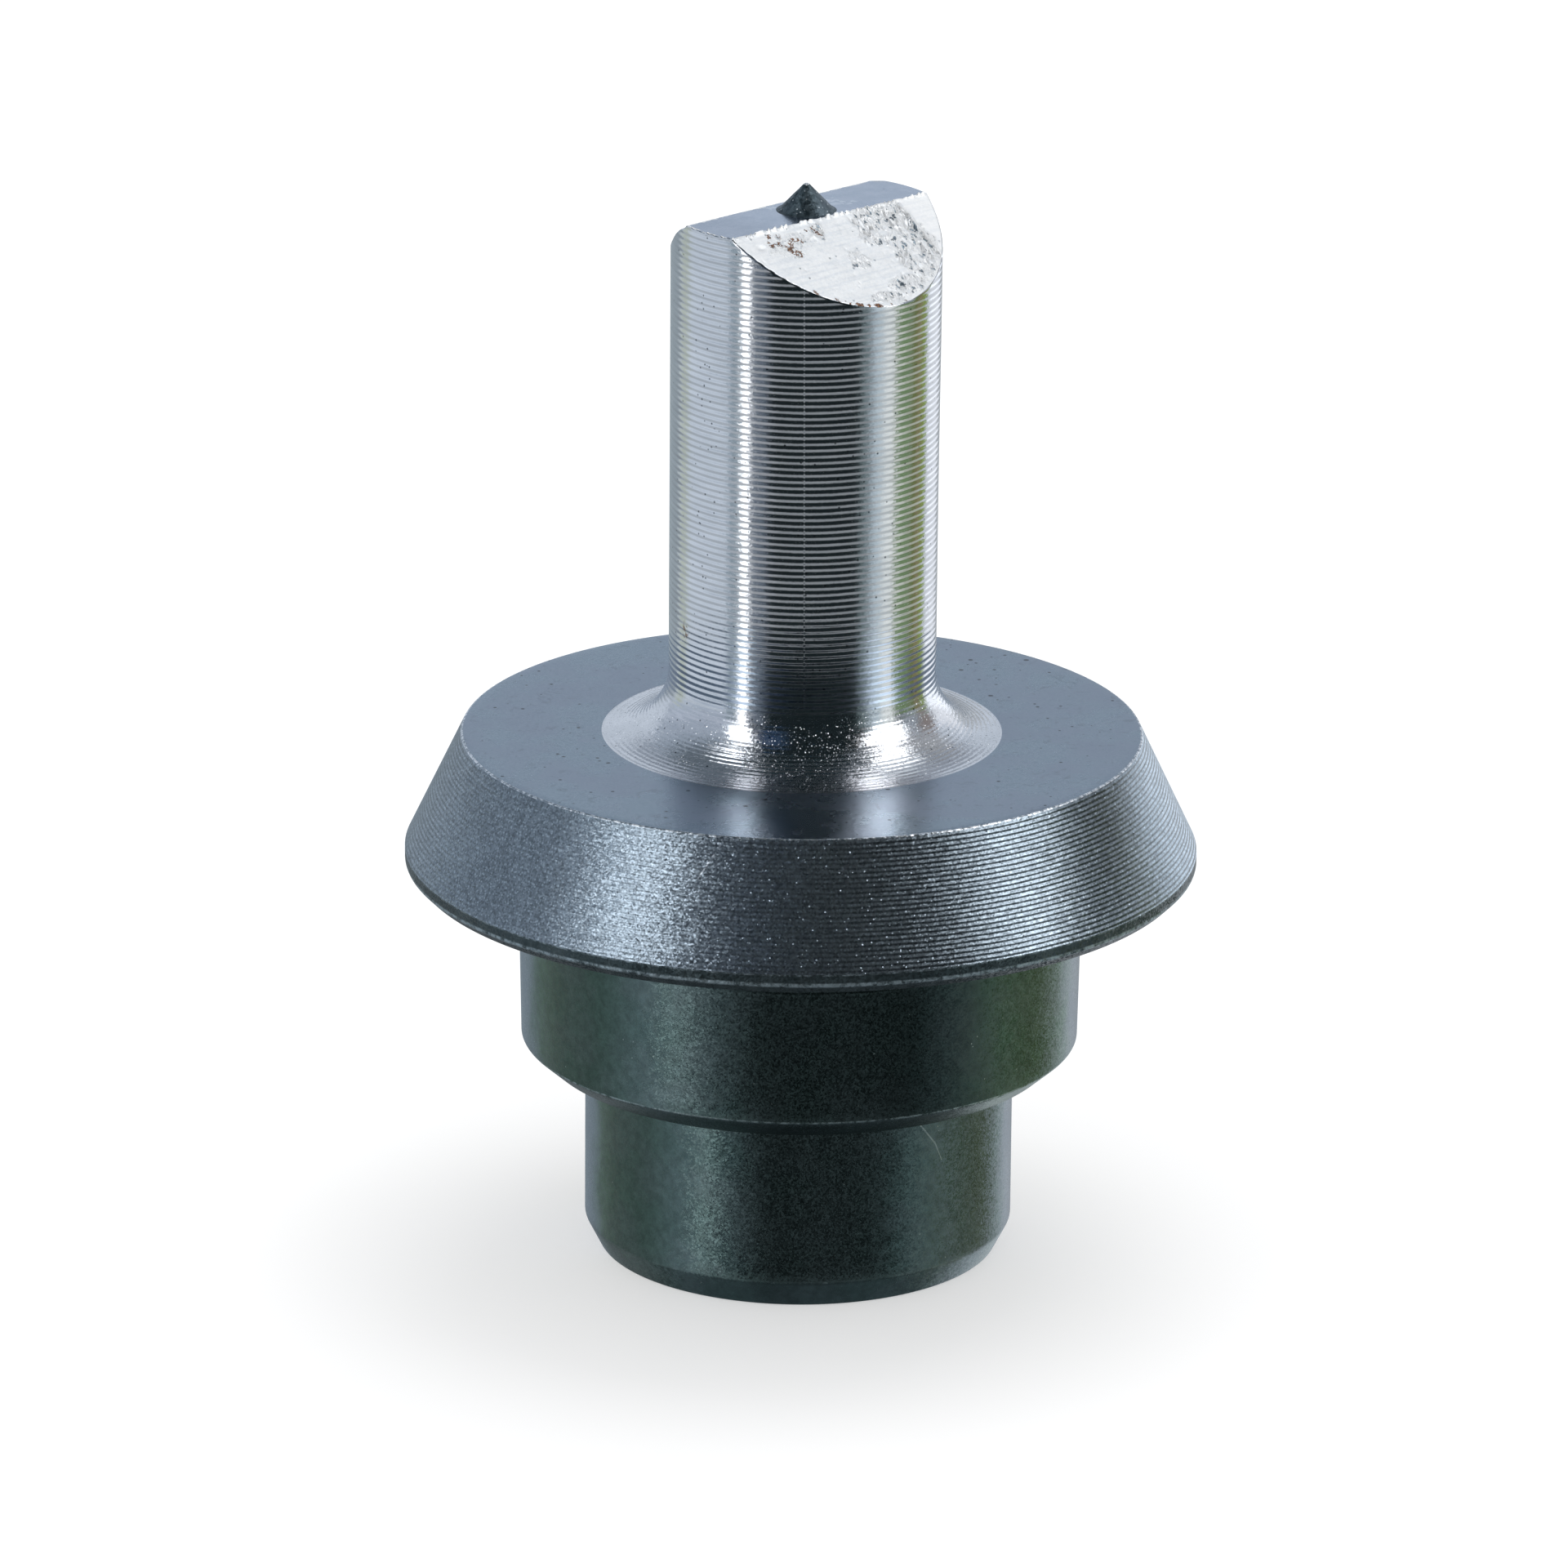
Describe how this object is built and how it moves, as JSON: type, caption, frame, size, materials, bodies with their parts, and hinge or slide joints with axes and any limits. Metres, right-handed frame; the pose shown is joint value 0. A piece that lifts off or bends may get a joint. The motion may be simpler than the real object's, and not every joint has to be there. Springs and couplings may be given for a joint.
{
  "type": "piercing punch",
  "caption": "Turned steel piercing punch with a stepped shank, conical flange, round filleted body and a roof-shaped point with a centre spike.",
  "frame": {"origin": "centre of the shank's flat end face, which the punch stands on", "axes": "+Z along the turning axis from the shank to the point; X along the flat land across the point; the two shear faces slope down to -Y and +Y"},
  "size_m": [0.0358, 0.0358, 0.0497],
  "materials": {
    "tool_steel": "blackened and dark blue-grey on shank, collar and flange, bright turned steel on the body and fillet, rough bright shear faces"
  },
  "bodies": {
    "root": {"piercing_punch": "tool_steel"}
  },
  "joints": []
}
